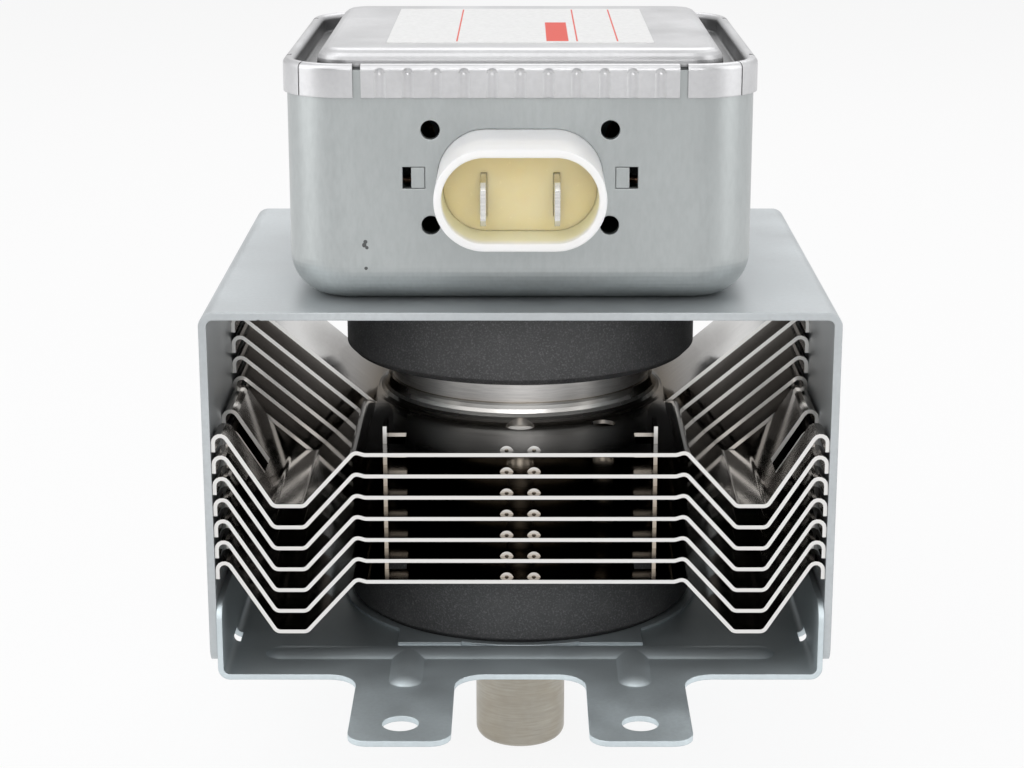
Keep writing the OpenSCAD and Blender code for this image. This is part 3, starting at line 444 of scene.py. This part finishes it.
CERAMIC = (rgb(0.74, 0.66, 0.62), rgb(0.8, 0.73, 0.7))
RESIN = (rgb(0.97, 0.82, 0.47), rgb(0.99, 0.87, 0.57))
MATERIALS = {
    # The yoke, plate and lid get painted shade in their hollows, the lid's in the trough round its panel
    "yoke_steel": zinc("yoke_steel", (0.56, 0.59, 0.605), 0.44, YOKE_MARKS, hollow_shade=(22, 0.88)),
    "plate_steel": zinc("plate_steel", (0.68, 0.755, 0.785), 0.48, hollow_shade=(25, 0.75)),
    "box_steel": zinc("box_steel", (0.45, 0.475, 0.475), 0.34, BOX_MARKS, (1, 1, 0.35)),
    "lid_steel": zinc("lid_steel", (0.635, 0.635, 0.645), 0.33, hollow_shade=(6, 0.3)),
    "ferrite": make_ferrite(),
    "fin_aluminium": make_fin(),
    "anode_metal": make_turned("anode_metal", (0.95, 0.93, 0.91), 0.42),
    "copper": make_turned("copper", (0.74, 0.42, 0.27), 0.25),
    "tube_steel": make_turned("tube_steel", (0.58, 0.57, 0.56), 0.26),
    "cap_metal": make_turned("cap_metal", (0.40, 0.375, 0.325), 0.36, rgb(0.33, 0.29, 0.225)),
    "cathode_metal": make_turned("cathode_metal", (0.3, 0.3, 0.31), 0.4),
    "tab_metal": make_turned("tab_metal", (0.74, 0.73, 0.71), 0.24),
    "ceramic_white": make_smooth("ceramic_white", *CERAMIC, 0.55),
    "white_plastic": make_housing(),
    "epoxy": make_smooth("epoxy", *RESIN, 0.22, scale=90, coat=0.4, scatter=0.4),
    "label_paper": make_label(),
    "gasket_mesh": make_gasket(),
}

for row in frame["record"]["subparts"]:
    mesh = frame["nodes"][row["node"]].data
    mesh.materials.clear()
    mesh.materials.append(MATERIALS[row["material_slot"]])


# Floor and light
def white_rays(tree, path):
    """1 for rays that see or mirror the white background, and 0 for those that only carry light."""
    seen = math_node(tree, "MAXIMUM", path["Is Camera Ray"], path["Is Glossy Ray"])
    return math_node(tree, "MAXIMUM", seen, path["Is Transmission Ray"])


def build_world():
    """White to the camera, dimmer to metal in front and at the back, and a soft fill on matt faces."""
    world = bpy.data.worlds.new("studio")
    scene.world = world
    world.use_nodes = True
    tree = world.node_tree
    path = add(tree, "ShaderNodeLightPath").outputs
    coord = add(tree, "ShaderNodeTexCoord")
    split = add(tree, "ShaderNodeSeparateXYZ")
    tree.links.new(coord.outputs["Generated"], split.inputs[0])
    front = remap(tree, split.outputs["Y"], -DIM_FULL, -DIM_START, ROOM_DIM, 1.0, smooth=True)
    back = remap(tree, split.outputs["Y"], DIM_START, DIM_FULL, 1.0, BACK_DIM, smooth=True)
    color = mix(tree, white_rays(tree, path), FILL, math_node(tree, "MINIMUM", front, back))
    color = mix(tree, path["Is Camera Ray"], color, WHITE)
    tree.links.new(color, tree.nodes["Background"].inputs["Color"])


def build_floor():
    """A wide sheet under the part, nearly white to the camera, that keeps the part's shadow."""
    z = cad_box[0][2]
    corners = [
        (-FLOOR_HALF, -FLOOR_HALF, z),
        (FLOOR_HALF, -FLOOR_HALF, z),
        (FLOOR_HALF, FLOOR_HALF, z),
        (-FLOOR_HALF, FLOOR_HALF, z),
    ]
    mesh = bpy.data.meshes.new("floor")
    mesh.from_pydata(corners, [], [(0, 1, 2, 3)])
    floor = bpy.data.objects.new("floor", mesh)
    scene.collection.objects.link(floor)
    material, tree, shader = new_material("floor", Roughness=0.9, Base_Color=rgb(0.9, 0.9, 0.9))
    glow = add(tree, "ShaderNodeEmission")
    blend = add(tree, "ShaderNodeMixShader")
    path = add(tree, "ShaderNodeLightPath").outputs
    white = math_node(tree, "MULTIPLY", white_rays(tree, path), FLOOR_WHITE)
    tree.links.new(white, blend.inputs[0])
    tree.links.new(shader.outputs[0], blend.inputs[1])
    tree.links.new(glow.outputs[0], blend.inputs[2])
    tree.links.new(blend.outputs[0], tree.nodes["Material Output"].inputs["Surface"])
    mesh.materials.append(material)


def area_light(name, at, size, watts):
    data = bpy.data.lights.new(name, "AREA")
    data.shape = "RECTANGLE"
    data.size, data.size_y = size
    data.energy = watts
    lamp = bpy.data.objects.new(name, data)
    lamp.location = at
    lamp.rotation_euler = (LAMP_AIM - Vector(at)).to_track_quat("-Z", "Y").to_euler()
    lamp.visible_camera = False
    scene.collection.objects.link(lamp)


build_world()
build_floor()
area_light("key", (-0.35, -0.45, 0.75), (0.9, 0.9), 2.6)
area_light("front", (0.05, -0.95, 0.42), (0.6, 0.35), 2.2)
area_light("right", (0.75, -0.25, 0.35), (0.5, 0.8), 1.7)
area_light("left", (-0.75, -0.15, 0.3), (0.5, 0.8), 1.7)
area_light("back", (0.1, 0.6, 0.7), (0.8, 0.6), 1.9)
